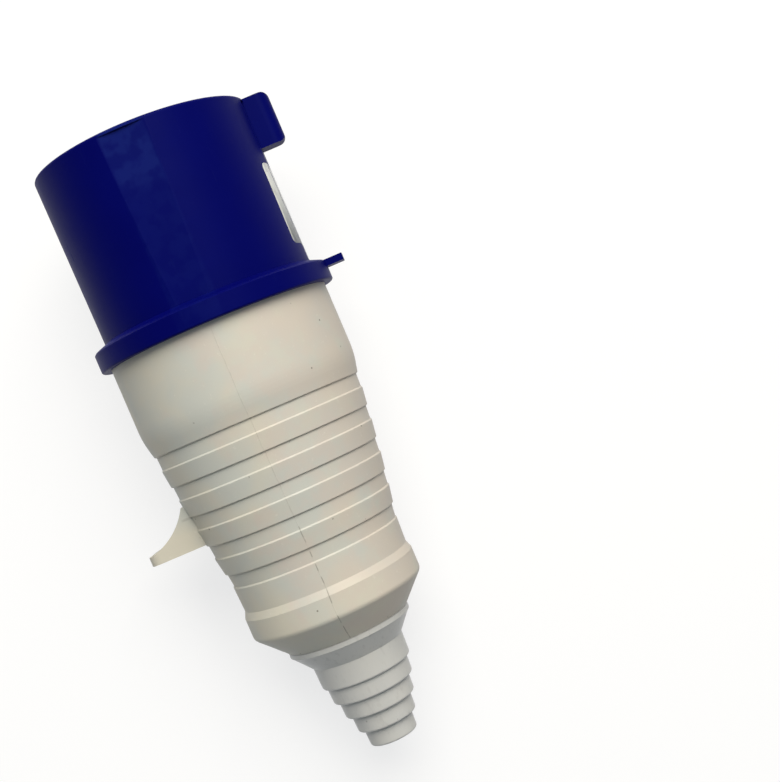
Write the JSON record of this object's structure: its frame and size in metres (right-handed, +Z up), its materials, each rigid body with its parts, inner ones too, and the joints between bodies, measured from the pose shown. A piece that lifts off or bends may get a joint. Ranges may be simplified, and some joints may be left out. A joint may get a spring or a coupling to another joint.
{
  "type": "industrial pin and sleeve plug",
  "caption": "Blue round shroud with recessed brass pins and a keying lug, a ringed ivory rear cover with a finger hook, and a stepped grey cable boot.",
  "frame": {"origin": "middle of the object's box, on the surface that the plug lies on", "axes": "+X towards the mouth and level, +Y towards the finger hook, +Z up; the plug's own axis rises 6.3 degrees towards the mouth"},
  "size_m": [0.1673, 0.075, 0.0651],
  "materials": {
    "shroud_blue": "moulded, satin gloss",
    "carrier_dark": "moulded, matt",
    "pin_brass": "turned and polished",
    "screw_steel": "zinc plated",
    "nylon": "natural nylon",
    "cover_ivory": "moulded, satin",
    "seal_black": "soft rubber",
    "boot_grey": "soft, glossy"
  },
  "bodies": {
    "root": {"shroud": "shroud_blue", "pin_carrier": "carrier_dark", "line_pin_1": "pin_brass", "line_pin_2": "pin_brass", "line_pin_3": "pin_brass", "earth_pin": "pin_brass", "pin_retainer": "nylon", "retainer_screw": "screw_steel", "line_terminal_screws": "screw_steel", "earth_terminal_screw": "screw_steel", "housing_screws": "screw_steel", "cover_seal": "seal_black", "rear_cover": "cover_ivory", "clamp_bridge": "nylon", "bridge_screws": "screw_steel", "clamp_bar": "nylon", "clamp_screws": "screw_steel", "gland_washer": "nylon", "cable_seal": "seal_black", "cable_boot": "boot_grey"}
  },
  "joints": []
}
